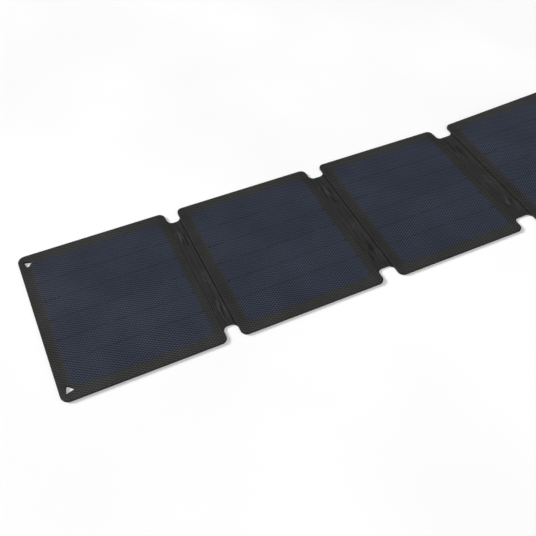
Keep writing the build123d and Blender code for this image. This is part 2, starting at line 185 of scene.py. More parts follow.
def leaf_loop(number, inset, step):
    """The leaf's edge, drawn in by inset."""
    radii = [max(corner_radius(number, side) - inset, 1.0) for side in (-1, 1)]
    return rounded_loop(WIDTH / 2 - inset, DEPTH / 2 - inset, radii, step)


def tie_holes(number):
    """Middle and turn of each tie-down hole of a leaf."""
    places = []
    for side in (-1, 1):
        if hinged(number, side):
            continue
        for end in (-1, 1):
            middle = (side * (WIDTH / 2 - TIE_SIDE_INSET), end * (DEPTH / 2 - TIE_END_INSET))
            places.append((np.array(middle), math.atan2(end, side)))
    return places


def hole_loop(middle, turn, outset):
    """A rounded triangle round a tie-down hole, let out by outset."""
    reach = TIE_REACH - 2 * TIE_RADIUS
    radius = TIE_RADIUS + outset
    points = []
    for corner in range(3):
        angle = turn + corner * 2 * math.pi / 3
        centre = middle + reach * np.array([math.cos(angle), math.sin(angle)])
        count = max(5, int(2 * math.pi / 3 * radius / HOLE_STEP))
        sweep = angle + np.linspace(-math.pi / 3, math.pi / 3, count)
        arc = centre + radius * np.stack([np.cos(sweep), np.sin(sweep)], 1)
        if points:
            points.append(straight(points[-1][-1], arc[0], HOLE_STEP))
        points.append(arc)
    points.append(straight(points[-1][-1], points[0][0], HOLE_STEP))
    return np.concatenate(points)


def box_distance(points, half_x, half_y, radius):
    """Signed distance to a rounded rectangle, negative inside; radius may differ per point."""
    q = np.abs(points) - np.array([half_x, half_y]) + np.stack([radius, radius], 1)
    outside = np.linalg.norm(np.maximum(q, 0), axis=1)
    return outside + np.minimum(q.max(1), 0) - radius


def leaf_distance(points, number):
    """How far inside the leaf's edge and clear of its holes each point is."""
    radius = np.where(points[:, 0] < 0, corner_radius(number, -1), corner_radius(number, 1))
    inside = -box_distance(points, WIDTH / 2, DEPTH / 2, radius)
    for middle, turn in tie_holes(number):
        inside = np.minimum(inside, hole_distance(points, middle, turn))
    return inside


def hole_distance(points, middle, turn):
    """Signed distance from a rounded triangle, positive outside it."""
    reach = TIE_REACH - 2 * TIE_RADIUS
    angles = turn + np.arange(3) * 2 * math.pi / 3
    corners = middle + reach * np.stack([np.cos(angles), np.sin(angles)], 1)
    nearest = np.full(len(points), FAR)
    inside = np.ones(len(points), bool)
    for index in range(3):
        a = corners[index]
        along = corners[(index + 1) % 3] - a
        offset = points - a
        share = np.clip(offset @ along / (along @ along), 0, 1)
        nearest = np.minimum(nearest, np.linalg.norm(offset - share[:, None] * along, axis=1))
        inside &= along[0] * offset[:, 1] - along[1] * offset[:, 0] > 0
    return np.where(inside, -nearest, nearest) - TIE_RADIUS


# ---------------------------------------------------------------- meshes


def smooth(x):
    """A smooth step from 0 at 0 to 1 at 1."""
    x = np.clip(x, 0, 1)
    return x * x * (3 - 2 * x)


def fill(loops, inner, keep):
    """Triangles over closed loops and loose points; keep says which points are inside.

    Returns the points, the triangles, and for each loop the places of its points."""
    coords, edges, starts = [], [], []
    for loop in loops:
        start = len(coords)
        starts.append(start)
        coords += [Vector(p) for p in loop]
        edges += [(start + i, start + (i + 1) % len(loop)) for i in range(len(loop))]
    coords += [Vector(p) for p in inner]
    verts, _, faces, sources, _, _ = delaunay_2d_cdt(coords, edges, [], 0, 1e-6)
    points = np.array([tuple(v) for v in verts])
    triangles = np.array([f for f in faces if len(f) == 3])
    seat = {source: place for place, made_of in enumerate(sources) for source in made_of}
    places = [[seat[start + i] for i in range(len(loop))] for start, loop in zip(starts, loops)]
    return points, triangles[whole_regions(points, triangles, places, keep)], places


def whole_regions(points, triangles, places, keep):
    """Which triangles lie inside, judged once for each region between the closed loops."""
    fences = set()
    for ring in places:
        fences.update(frozenset(pair) for pair in zip(ring, ring[1:] + ring[:1]))
    region = list(range(len(triangles)))

    def root(i):
        while region[i] != i:
            region[i] = region[region[i]]
            i = region[i]
        return i

    seen = {}
    for i, (a, b, c) in enumerate(triangles.tolist()):
        for pair in (frozenset((a, b)), frozenset((b, c)), frozenset((c, a))):
            if pair in fences:
                continue
            if pair in seen:
                region[root(i)] = root(seen[pair])
            else:
                seen[pair] = i
    roots = np.array([root(i) for i in range(len(triangles))])
    a, b, c = (points[triangles[:, i]] for i in range(3))
    area = np.abs((b - a)[:, 0] * (c - a)[:, 1] - (b - a)[:, 1] * (c - a)[:, 0])
    inside = keep((a + b + c) / 3) > 0
    kept = np.zeros(len(triangles), bool)
    for label in np.unique(roots):
        members = np.flatnonzero(roots == label)
        kept[members] = inside[members[area[members].argmax()]]
    return kept


def oriented(points, triangles, up):
    """The triangles, turned so that they all face up, or all down."""
    a, b, c = (points[triangles[:, i], :2] for i in range(3))
    area = (b - a)[:, 0] * (c - a)[:, 1] - (b - a)[:, 1] * (c - a)[:, 0]
    flip = area < 0 if up else area > 0
    turned = triangles.copy()
    turned[flip] = turned[flip][:, ::-1]
    return turned


def slab(loops, grid, keep, top, bottom):
    """A closed slab between two height functions over the same outline.

    loops holds a list of nested rings for the outline and for each hole, and the first ring of each
    list is the edge itself."""
    rings = [ring for group in loops for ring in group]
    edges = [group[0] for group in loops]
    upper, upper_faces, upper_places = fill(rings, grid, keep)
    lower, lower_faces, lower_places = fill(edges, [], keep)
    verts = np.concatenate([np.c_[upper, top(upper)], np.c_[lower, bottom(lower)]])
    faces = [tuple(f) for f in oriented(upper, upper_faces, True)]
    faces += [tuple(f + len(upper)) for f in oriented(lower, lower_faces, False)]
    first = 0
    for number, (group, below) in enumerate(zip(loops, lower_places)):
        above = upper_places[first]
        first += len(group)
        below = [place + len(upper) for place in below]
        outwards = (signed_area(group[0]) > 0) == (number == 0)
        faces += wall_between(above, below, outwards)
    return verts, faces


def wall_between(above, below, outwards):
    """Quads between two closed rings of vertices."""
    quads = []
    for i in range(len(above)):
        j = (i + 1) % len(above)
        quad = (above[i], below[i], below[j], above[j])
        quads.append(quad if outwards else quad[::-1])
    return quads


def signed_area(loop):
    """Area of a closed loop, positive if it runs anticlockwise."""
    x, y = loop[:, 0], loop[:, 1]
    return float((x * np.roll(y, -1) - np.roll(x, -1) * y).sum() / 2)


def make_object(name, verts, faces, matrix, material):
    """A mesh object in the part's frame, with the leaf's own x and y as a UV map, in metres."""
    mesh = bpy.data.meshes.new(name)
    mesh.from_pydata([tuple(v) for v in verts], [], faces)
    mesh.update()
    layer = mesh.uv_layers.new(name="leaf")
    loops = np.empty(len(mesh.loops), np.int64)
    mesh.loops.foreach_get("vertex_index", loops)
    flat = np.asarray(verts)[loops, :2] * MM
    layer.data.foreach_set("uv", flat.astype(np.float32).ravel())
    mesh.transform(matrix)
    mesh.validate()
    mesh.materials.append(material)
    mesh.shade_smooth()
    obj = bpy.data.objects.new(name, mesh)
    bpy.context.scene.collection.objects.link(obj)
    return obj


# ---------------------------------------------------------------- node helpers


class Nodes:
    """Short names for building a material's nodes."""

    def __init__(self, name):
        self.material = bpy.data.materials.new(name)
        self.material.use_nodes = True
        self.tree = self.material.node_tree
        self.tree.nodes.clear()
        self.surface = self.tree.nodes.new("ShaderNodeBsdfPrincipled")
        output = self.tree.nodes.new("ShaderNodeOutputMaterial")
        self.link(self.surface.outputs[0], output.inputs["Surface"])

    def link(self, source, target):
        self.tree.links.new(source, target)

    def plug(self, value, socket):
        """Links another node's output to a socket, or sets it to a number or an RGB colour."""
        if isinstance(value, bpy.types.NodeSocket):
            self.link(value, socket)
        elif isinstance(value, tuple):
            socket.default_value = (*value, 1.0)
        else:
            socket.default_value = value

    def math(self, operation, a, b=0.0):
        node = self.tree.nodes.new("ShaderNodeMath")
        node.operation = operation
        for value, socket in zip((a, b), node.inputs):
            self.plug(value, socket)
        return node.outputs[0]

    def absolute(self, value):
        return self.math("ABSOLUTE", value)

    def add(self, a, b):
        return self.math("ADD", a, b)

    def sub(self, a, b):
        return self.math("SUBTRACT", a, b)

    def mul(self, a, b):
        return self.math("MULTIPLY", a, b)

    def ramp(self, value, low, high, to_low=0.0, to_high=1.0):
        """A smooth step from to_low at low to to_high at high."""
        node = self.tree.nodes.new("ShaderNodeMapRange")
        node.interpolation_type = "SMOOTHSTEP"
        if low > high:
            low, high, to_low, to_high = high, low, to_high, to_low
        for value_in, name in ((value, "Value"), (low, "From Min"), (high, "From Max"),
                               (to_low, "To Min"), (to_high, "To Max")):
            self.plug(value_in, node.inputs[name])
        return node.outputs[0]

    def noise(self, vector, scale, detail=2.0, roughness=0.5, stretch=None):
        """Noise of scale cells in a metre, squeezed along each axis by stretch."""
        if stretch:
            mapping = self.tree.nodes.new("ShaderNodeMapping")
            mapping.inputs["Scale"].default_value = stretch
            self.link(vector, mapping.inputs["Vector"])
            vector = mapping.outputs[0]
        node = self.tree.nodes.new("ShaderNodeTexNoise")
        self.link(vector, node.inputs["Vector"])
        node.inputs["Scale"].default_value = scale
        node.inputs["Detail"].default_value = detail
        node.inputs["Roughness"].default_value = roughness
        return node.outputs[0]

    def mix(self, share, first, second):
        """A blend of two colours, whose sockets in a Mix node are inputs 6 and 7 and output 2."""
        node = self.tree.nodes.new("ShaderNodeMix")
        node.data_type = "RGBA"
        for value, place in ((share, 0), (first, 6), (second, 7)):
            self.plug(value, node.inputs[place])
        return node.outputs[2]

    def shade(self, colour, value):
        """A colour made lighter or darker by a number round 1."""
        node = self.tree.nodes.new("ShaderNodeVectorMath")
        node.operation = "SCALE"
        self.plug(colour, node.inputs[0])
        self.plug(value, node.inputs["Scale"])
        return node.outputs[0]

    def object_place(self):
        return self.tree.nodes.new("ShaderNodeTexCoord").outputs["Object"]

    def leaf_place(self):
        """The leaf's own x and y in millimetres, and the vector they come from, in metres."""
        node = self.tree.nodes.new("ShaderNodeUVMap")
        node.uv_map = "leaf"
        place = node.outputs[0]
        return self.along(place, 0), self.along(place, 1), place

    def along(self, place, axis):
        """One coordinate of a place in metres, in millimetres."""
        split = self.tree.nodes.new("ShaderNodeSeparateXYZ")
        self.link(place, split.inputs[0])
        return self.mul(split.outputs[axis], 1 / MM)

    def attribute(self, name):
        node = self.tree.nodes.new("ShaderNodeAttribute")
        node.attribute_name = name
        return node.outputs["Fac"]

    def wave(self, value, period):
        """A cosine of the value, from -1 to 1."""
        return self.math("COSINE", self.mul(value, 2 * math.pi / period))

    def bump(self, height, distance, strength):
        node = self.tree.nodes.new("ShaderNodeBump")
        node.inputs["Strength"].default_value = strength
        node.inputs["Distance"].default_value = distance
        self.link(height, node.inputs["Height"])
        return node.outputs[0]

    def finish(self, colour, roughness, normal=None, **constants):
        """Plugs in what the surface shows and returns the material."""
        self.plug(colour, self.surface.inputs["Base Color"])
        self.plug(roughness, self.surface.inputs["Roughness"])
        if normal:
            self.link(normal, self.surface.inputs["Normal"])
        for name, value in constants.items():
            self.surface.inputs[name.replace("_", " ")].default_value = value
        return self.material


# ---------------------------------------------------------------- the textured front film

DIMPLE_X = 5.2
DIMPLE_Y = 3.33
DIMPLE_CROSS = 0.85
DIMPLE_RIB = 0.15
DIMPLE_HEIGHT = 0.085
STRIP_STEP = 28.65
LAST_LINE = 70.0
JOINT_HALF = 1.1
JOINT_DEPTH = 0.10
TAB_PITCH = 38.0
TAB_HALF = 3.0
TAB_BLUR = 0.4
RIM = 0.5
PLAIN_EDGE = 0.9
EDGE_FADE = 1.2
CELL_MIDDLE = sum(CELL_SIDES) / 2
CELL_HALF = (CELL_SIDES[1] - CELL_SIDES[0]) / 2
CELL_RAISE = 0.10
CELL_SLOPE = 1.6
CELL_BLUR = 0.55
FILM_INSETS = (0.0, 0.1, 0.27, 0.5, 0.75)
FILM_EDGE_STEP = 1.2
FILM_GRID_CLEAR = 1.25

BORDER_TONES = ((0.0245, 0.0246, 0.0240), (0.0300, 0.0301, 0.0294))
SILICON_TONES = ((0.0230, 0.0285, 0.0446), (0.0280, 0.0344, 0.0530))
JOINT_TONES = ((0.0120, 0.0120, 0.0120), (0.0260, 0.0175, 0.0150))
TAB_TONES = ((0.0430, 0.0440, 0.0430), (0.0390, 0.0290, 0.0270))
WORN_FILM_AND_GLINT = (0.085, 0.084, 0.081)
FILM_SIDE_AND_RIM_SHADE = (0.0050, 0.0050, 0.0050)
DUST = (0.10, 0.10, 0.10)


def cell_area(n, u, v, place):
    """1 over the cells and 0 round them, with a soft edge that wanders a little."""
    qx = n.add(n.sub(n.absolute(n.sub(u, CELL_MIDDLE)), CELL_HALF), CELL_RADIUS)
    qy = n.add(n.sub(n.absolute(v), CELL_END), CELL_RADIUS)
    px = n.math("MAXIMUM", qx, 0.0)
    py = n.math("MAXIMUM", qy, 0.0)
    round_part = n.math("SQRT", n.add(n.mul(px, px), n.mul(py, py)))
    flat_part = n.math("MINIMUM", n.math("MAXIMUM", qx, qy), 0.0)
    distance = n.sub(n.add(round_part, flat_part), CELL_RADIUS)
    wander = n.mul(n.sub(n.noise(place, 160.0, 2.0), 0.5), 0.9)
    return n.ramp(n.add(distance, wander), CELL_BLUR, -CELL_BLUR)


def tab_dashes(n, u, row, off_line):
    """Where the tabs lie on the joints, which of them show, and how bronze each one is."""
    tab_u = n.mul(n.sub(u, CELL_MIDDLE), 1 / TAB_PITCH)
    tab_index = n.math("FLOOR", tab_u)
    off_tab = n.absolute(n.mul(n.sub(n.sub(tab_u, tab_index), 0.5), TAB_PITCH))
    in_length = n.ramp(off_tab, TAB_HALF + TAB_BLUR, TAB_HALF - TAB_BLUR)
    on_tab = n.mul(in_length, n.ramp(off_line, 0.95, 0.5))
    seat = n.tree.nodes.new("ShaderNodeCombineXYZ")
    for value, axis in ((tab_index, 0), (row, 1), (n.attribute("leaf_index"), 2)):
        n.link(value, seat.inputs[axis])
    dice = n.tree.nodes.new("ShaderNodeTexWhiteNoise")
    dice.noise_dimensions = "3D"
    n.link(seat.outputs[0], dice.inputs["Vector"])
    drawn = dice.outputs["Value"]
    shows = n.ramp(drawn, 0.35, 0.6)
    bronze = n.ramp(n.math("FRACT", n.mul(drawn, 17.0)), 0.4, 0.6)
    return on_tab, shows, bronze


def with_joints(n, colour, cell, u, v, place):
    """The colour with the dark lines between the strips and the tabs on them."""
    row = n.math("ROUND", n.mul(v, 1 / STRIP_STEP))
    off_line = n.absolute(n.sub(v, n.mul(row, STRIP_STEP)))
    on_rows = n.ramp(n.absolute(v), LAST_LINE, LAST_LINE - 1)
    side = n.sub(CELL_HALF, n.absolute(n.sub(u, CELL_MIDDLE)))
    near_side = n.ramp(side, 5.0, 1.5)
    line_half = n.add(n.mul(near_side, 0.35), 0.45)
    soft_line = n.ramp(n.sub(off_line, line_half), 0.5, -0.2)
    line = n.mul(n.mul(soft_line, on_rows), cell)
    broken = n.ramp(n.noise(place, 110.0, 2.0), 0.35, 0.6, 0.30, 0.75)
    line_share = n.mul(line, n.math("MAXIMUM", broken, n.mul(near_side, 0.95)))
    rust = n.ramp(n.noise(place, 38.0, 2.0), 0.42, 0.62)
    colour = n.mix(line_share, colour, n.mix(rust, *JOINT_TONES))
    on_tab, shows, bronze = tab_dashes(n, u, row, off_line)
    tab = n.mul(n.mul(n.mul(on_tab, on_rows), cell), shows)
    return n.mix(n.mul(tab, 0.7), colour, n.mix(bronze, *TAB_TONES))


def with_wear_and_painted_rim(n, colour, place, fine, grain):
    """The colour with rubbed pale edges that also serve as painted glints on the rim, the film's dark
    cut side with painted shade along the rim, and specks of dust.
    """
    edge = n.attribute("edge")
    # Rubbed pale edges, which also serve as painted glints on the rim.
    worn = n.mul(n.ramp(edge, 1.3, 0.3), n.ramp(n.noise(place, 230.0, 4.0, 0.7), 0.45, 0.75))
    colour = n.mix(n.mul(worn, 0.3), colour, WORN_FILM_AND_GLINT)
    # The film's dark cut side, with painted shade along the whole rim.
    colour = n.mix(n.ramp(edge, 0.6, 0.2), colour, FILM_SIDE_AND_RIM_SHADE)
    dust = n.mul(n.ramp(grain, 0.66, 0.78), n.ramp(fine, 0.5, 0.7))
    return n.mix(n.mul(dust, 0.35), colour, DUST)


def film_material():
    """Dark textured film: near-black round the edge, navy over the cells, with the joints showing."""
    n = Nodes("textured_film")
    u, v, place = n.leaf_place()
    weave = n.add(
        n.mul(n.mul(n.wave(u, DIMPLE_X), n.wave(v, DIMPLE_Y)), DIMPLE_CROSS),
        n.mul(n.wave(u, DIMPLE_X / 2), DIMPLE_RIB),
    )
    broad = n.noise(place, 14.0, 3.0, 0.55)
    fine = n.noise(place, 420.0, 3.0, 0.6)
    grain = n.noise(place, 1900.0, 2.0, 0.6)
    cell = cell_area(n, u, v, place)

    border = n.mix(n.ramp(broad, 0.35, 0.7), *BORDER_TONES)
    # Painted light and shade: the border is paler towards the leaf's ends and darker towards its
    # sides, as light falls on it.
    painted_light_at_ends = n.ramp(n.absolute(v), 88.0, 96.0, 1.0, 1.16)
    painted_shade_at_sides = n.ramp(n.absolute(u), 78.0, 84.0, 1.0, 0.84)
    border = n.shade(border, n.mul(painted_light_at_ends, painted_shade_at_sides))
    silicon = n.mix(n.ramp(broad, 0.3, 0.7), *SILICON_TONES)
    colour = with_joints(n, n.mix(cell, border, silicon), cell, u, v, place)
    # Painted shade in the dimple pits and painted highlights on their crests, following the dimple
    # relief.
    colour = n.shade(colour, n.ramp(weave, -0.62, 0.60, 0.34, 1.62))
    colour = n.shade(colour, n.ramp(fine, 0.3, 0.7, 0.90, 1.10))
    colour = with_wear_and_painted_rim(n, colour, place, fine, grain)

    roughness = n.add(n.ramp(broad, 0.3, 0.7, 0.40, 0.50), n.mul(n.sub(fine, 0.5), 0.16))
    roughness = n.add(roughness, n.mul(cell, -0.06))
    height = n.add(n.add(weave, n.mul(fine, 0.35)), n.mul(grain, 0.12))
    normal = n.bump(height, 0.16 * MM, 1.0)
    return n.finish(colour, roughness, normal, IOR=1.36, Specular_IOR_Level=0.4)


def grid_points(number, step_x, step_y, clear):
    """Loose points on a regular grid, well inside the leaf's edge and clear of its holes."""
    across = np.arange(-int(WIDTH / 2 / step_x), int(WIDTH / 2 / step_x) + 1) * step_x
    along = np.arange(-int(DEPTH / 2 / step_y), int(DEPTH / 2 / step_y) + 1) * step_y
    points = np.stack(np.meshgrid(across, along), -1).reshape(-1, 2)
    return points[leaf_distance(points, number) > clear]


def outline_rings(number, insets, step):
    """The rings of a leaf's edge and of each tie-down hole."""
    groups = [[leaf_loop(number, inset, step) for inset in insets]]
    for middle, turn in tie_holes(number):
        groups.append([hole_loop(middle, turn, inset) for inset in insets])
    return groups


def ripple(points, number):
    """The slow unevenness of a laminated leaf."""
    x, y = points[:, 0] + 37.0 * number, points[:, 1] - 23.0 * number
    return 0.07 * np.sin(x / 19.0) * np.cos(y / 27.0) + 0.05 * np.sin((x + y) / 31.0)


def film_height(points, number):
    """Height of the laminate's front: rounded rim, dimples, cells and the joints between them."""
    inside = np.maximum(leaf_distance(points, number), 0)
    x, y = points[:, 0], points[:, 1]
    rim = np.clip(RIM - inside, 0, RIM)
    height = THICK - (RIM - np.sqrt(np.maximum(RIM**2 - rim**2, 0)))
    turn_x = 2 * math.pi * x / DIMPLE_X
    turn_y = 2 * math.pi * y / DIMPLE_Y
    dimples = DIMPLE_CROSS * np.cos(turn_x) * np.cos(turn_y) + DIMPLE_RIB * np.cos(2 * turn_x)
    clear = smooth((inside - PLAIN_EDGE) / EDGE_FADE)
    shifted = np.stack([x - CELL_MIDDLE, y], 1)
    radius = np.full(len(x), CELL_RADIUS)
    over_cells = smooth(0.5 - box_distance(shifted, CELL_HALF, CELL_END, radius) / CELL_SLOPE)
    off_line = np.abs(y - STRIP_STEP * np.round(y / STRIP_STEP))
    joint = smooth(1 - off_line / JOINT_HALF) * (np.abs(y) < LAST_LINE) * over_cells
    detail = DIMPLE_HEIGHT * dimples + CELL_RAISE * over_cells - JOINT_DEPTH * joint
    return height + clear * (detail + ripple(points, number))


def set_values(mesh, name, values):
    """Keeps one number for each vertex, which a material reads by name."""
    attribute = mesh.attributes.new(name, "FLOAT", "POINT")
    attribute.data.foreach_set("value", np.asarray(values, np.float32))


def build_film(number, material):
    """The textured front film of a leaf, which shows the cells under it."""
    rings = outline_rings(number, FILM_INSETS, FILM_EDGE_STEP)
    grid = grid_points(number, DIMPLE_X / 4, DIMPLE_Y / 4, FILM_GRID_CLEAR)
    verts, faces = slab(
        rings, grid, lambda p: leaf_distance(p, number),
        lambda p: film_height(p, number), lambda p: np.full(len(p), FILM_BACK),
    )
    name = f"textured_film_{number}"
    piece = make_object(name, verts, faces, leaf_matrix(number), material)
    set_values(piece.data, "edge", np.maximum(leaf_distance(verts[:, :2], number), 0))
    set_values(piece.data, "leaf_index", np.full(len(verts), number))
    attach(piece, f"leaf_{number}")
    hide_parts(f"front_film_{number}")


# ---------------------------------------------------------------- the back cloth

THREAD = 0.62
BACK_ROLL = 0.35
BACK_DRIFT = 0.03
BACK_CLEAR = 0.04
BACK_INSETS = (0.0, 0.08, 0.25, 0.5)
BACK_EDGE_STEP = 1.6
BACK_GRID = 2.6
BACK_GRID_CLEAR = 1.4
BACK_TONES = ((0.012, 0.012, 0.012), (0.020, 0.020, 0.020))
BACK_ROUGHNESS = 0.68


def cloth_material():
    """Plain woven cloth: two sets of threads with painted shade between them and painted highlights
    on their crossings, fuzz and slow changes of tone.
    """
    n = Nodes("back_cloth")
    u, v, place = n.leaf_place()
    broad = n.noise(place, 22.0, 3.0, 0.6)
    fuzz = n.noise(place, 2600.0, 3.0, 0.6)
    slub = n.noise(place, 60.0, 2.0, 0.5, (1.0, 9.0, 1.0))
    over = n.mul(n.wave(u, THREAD * 2), n.wave(v, THREAD * 2))
    ribs = n.add(n.wave(u, THREAD), n.wave(v, THREAD))
    weave = n.add(n.mul(over, 0.7), n.mul(ribs, 0.15))
    colour = n.mix(n.ramp(broad, 0.3, 0.7), *BACK_TONES)
    # Painted shade between the threads and painted highlights on their crossings, following the weave
    # relief.
    colour = n.shade(colour, n.ramp(weave, -0.9, 0.8, 0.62, 1.25))
    colour = n.shade(colour, n.ramp(slub, 0.3, 0.7, 0.92, 1.08))
    height = n.add(weave, n.mul(fuzz, 0.4))
    normal = n.bump(height, 0.07 * MM, 0.8)
    dull = n.ramp(fuzz, 0.3, 0.7, BACK_ROUGHNESS, BACK_ROUGHNESS + 0.12)
    roughness = n.add(dull, n.mul(broad, 0.05))
    return n.finish(colour, roughness, normal, Sheen_Weight=0.15, Sheen_Roughness=0.4, IOR=1.45)


def build_back_cloth(number, material):
    """The cloth glued to a leaf's back, with its edge rolled up a little."""
    rings = outline_rings(number, BACK_INSETS, BACK_EDGE_STEP)
    grid = grid_points(number, BACK_GRID, BACK_GRID, BACK_GRID_CLEAR)

    def height(points):
        inside = np.maximum(leaf_distance(points, number), 0)
        rim = np.clip(BACK_ROLL - inside, 0, BACK_ROLL)
        x, y = points[:, 0], points[:, 1]
        drift = BACK_DRIFT * np.sin(x / 7.3 + number) * np.cos(y / 9.1) * smooth((inside - 1) / 6)
        roll = BACK_ROLL - np.sqrt(np.maximum(BACK_ROLL**2 - rim**2, 0))
        return drift - BACK_CLEAR - roll

    # The slab is made with its outside up, then turned over.
    verts, faces = slab(
        rings, grid, lambda p: leaf_distance(p, number), height,
        lambda p: np.full(len(p), -CLOTH),
    )
    verts[:, 2] *= -1
    faces = [face[::-1] for face in faces]
    piece = make_object(f"back_cloth_{number}", verts, faces, leaf_matrix(number), material)
    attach(piece, f"leaf_{number}")
    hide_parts(f"back_fabric_{number}")


# ---------------------------------------------------------------- the cloth hinges

NOTCH_STRAIGHT = 2.5
WEB_HALF = WEB_END - NOTCH_RADIUS - NOTCH_STRAIGHT
TONGUE = 8.0
WEB_STEP = 1.5
WEB_GRID = 0.7
WEB_GRID_CLEAR = 0.5
WEB_LIFT = 0.25
WEB_UNDER = 0.14
WEB_EDGE_ROUND = 0.8
GAP_FADE = 0.7
WELT_HEIGHT = 0.22
LEDGE_HEIGHT = 0.14
CREASE_DEPTH = 0.95
CREASE_LESS_AT_LEADS = 0.6
LEAD_LIFT = 0.38
# Half of the width over which each cloth turns from one leaf's angle to the next one's.
FOLD_HALF = {1: 3.2, 2: 2.6, 3: 3.2}

FOLD_SEED = 40
PUCKERS = 16
PUCKER_PLACES = (-57.0, 52.0)
CREASE_PLACES = (-0.40, 0.08, 0.36)

WEB_TONES = ((0.0200, 0.0202, 0.0196), (0.0258, 0.0260, 0.0253))
CREASE_SHADE_TONE = (0.0040, 0.0040, 0.0040)
SEAM_SHADE_TONE = (0.006, 0.006, 0.006)
WELT_HIGHLIGHT_TONE = (0.036, 0.036, 0.035)
WORN_WEB = (0.09, 0.09, 0.088)


def web_loop(gap, step):
    """The outline of a whole hinge cloth, its tongues and its rounded notches, from the fold line."""
    half = gap / 2
    radius = min(NOTCH_RADIUS, half - NOTCH_LIP)
    right = [np.array([half + TONGUE, WEB_END]), np.array([half, WEB_END])]
    angles = np.radians(np.linspace(0, -90, 12))
    centre = np.array([half - radius, WEB_HALF + radius])
    right += [centre + radius * np.array([math.cos(a), math.sin(a)]) for a in angles]
    far_end = right + [np.array([-p[0], p[1]]) for p in right[::-1]]
    whole = far_end + [np.array([p[0], -p[1]]) for p in far_end[::-1]]
    points = []
    for a, b in zip(whole, whole[1:] + whole[:1]):
        points.append(a[None])
        if np.linalg.norm(b - a) > 1.5 * step:
            points.append(straight(a, b, step))
    return np.concatenate(points)


def inside_loop(points, loop):
    """1 for points inside a closed loop, -1 for the rest."""
    x, y = points[:, 0][:, None], points[:, 1][:, None]
    x0, y0 = loop[:, 0][None], loop[:, 1][None]
    x1, y1 = np.roll(loop[:, 0], -1)[None], np.roll(loop[:, 1], -1)[None]
    crosses = (y0 > y) != (y1 > y)
    with np.errstate(divide="ignore", invalid="ignore"):
        at = x0 + (y - y0) * (x1 - x0) / (y1 - y0)
    return np.where((crosses & (x < at)).sum(1) % 2 == 1, 1.0, -1.0)


def loop_distance(points, loop):
    """Distance from each point to a closed loop."""
    best = np.full(len(points), FAR)
    for a, b in zip(loop, np.roll(loop, -1, 0)):
        along = b - a
        offset = points - a
        share = np.clip(offset @ along / max(along @ along, 1e-12), 0, 1)
        best = np.minimum(best, np.linalg.norm(offset - share[:, None] * along, axis=1))
    return best


def web_folds(x, y, half, hinge):
    """Puckers over the two leads and the fine creases between them, along the fold."""
    relief = np.zeros(len(x))
    dice = np.random.default_rng(FOLD_SEED + hinge)
    for place in PUCKER_PLACES:
        for _ in range(PUCKERS):
            middle = half * dice.uniform(-0.62, 0.48)
            along = place + dice.normal(0, 7.0)
            reach = dice.uniform(3.0, 9.0)
            width = dice.uniform(0.45, 0.85)
            bow = 0.5 * np.sin((y - along) / dice.uniform(4.0, 8.0))
            across = ((x - middle - bow) / width) ** 2
            height = dice.uniform(0.10, 0.26) * dice.choice([-1.0, -1.0, 1.0])
            relief += height * np.exp(-across - ((y - along) / reach) ** 2)
    for index, share in enumerate(CREASE_PLACES):
        middle = share * half + 0.6 * np.sin(y / 13.0 + 2.1 * index + hinge)
        long = smooth((np.sin(y / 17.0 + 2.6 * index + hinge) + 0.5) / 0.9)
        relief -= 0.11 * long * np.exp(-(((x - middle) / 0.55) ** 2))
    slant = y + 14.0 - 0.9 * (x + 3.0) * (-1) ** hinge
    relief += 0.10 * np.exp(-((slant / 0.9) ** 2)) * smooth((0.6 * half - np.abs(x)) / 3.0)
    return relief


def web_top(points, gap, hinge, edge):
    """Front of a hinge cloth: welted at one leaf, creased at the other, puckered over the leads."""
    x, y = points[:, 0], points[:, 1]
    half = gap / 2
    in_gap = smooth((half - np.abs(x)) / GAP_FADE)
    left = smooth((half - 0.6 + np.minimum(x, 0)) / 3.0)
    welt = WELT_HEIGHT * (1 - left) * (x < 0)
    ledge = LEDGE_HEIGHT * np.exp(-(((x - half + 3.4) / 1.6) ** 2))
    at_leads = smooth((LEAD_WIDTH / 2 + 1.6 - np.abs(np.abs(y) - LEAD_Y)) / 1.8)
    depth = CREASE_DEPTH - CREASE_LESS_AT_LEADS * at_leads
    crease = -depth * np.exp(-(((x - half + 0.75) / 0.6) ** 2))
    drift = 0.10 * np.sin(y / 23.0 + hinge) * np.cos(x / 5.0)
    folds = web_folds(x, y, half, hinge)
    soft = smooth(edge / WEB_EDGE_ROUND) * WEB_LIFT - WEB_LIFT
    detail = welt + crease + ledge + drift + folds + soft + LEAD_LIFT * at_leads
    return WEB_TOP + in_gap * (WEB_LIFT + detail)


def web_bottom(points, gap, hinge, edge):
    """Back of a hinge cloth, level with the back cloth in the gap."""
    x, y = points[:, 0], points[:, 1]
    in_gap = smooth((gap / 2 - np.abs(x)) / GAP_FADE)
    folds = 0.10 * np.sin(x / 1.4 + 0.3 * np.sin(y / 13.0)) * smooth((np.abs(y) - 30) / 20)
    level = WEB_UNDER + folds + 0.2 * (1 - smooth(edge / WEB_EDGE_ROUND))
    return CLOTH + in_gap * (level - CLOTH)


def hinge_pivot(hinge):
    """X and z of a fold line at rest, in millimetres."""
    x, _, z = JOINTS[f"fold_{hinge}"]["pos_m"]
    return np.array([x, z]) / MM


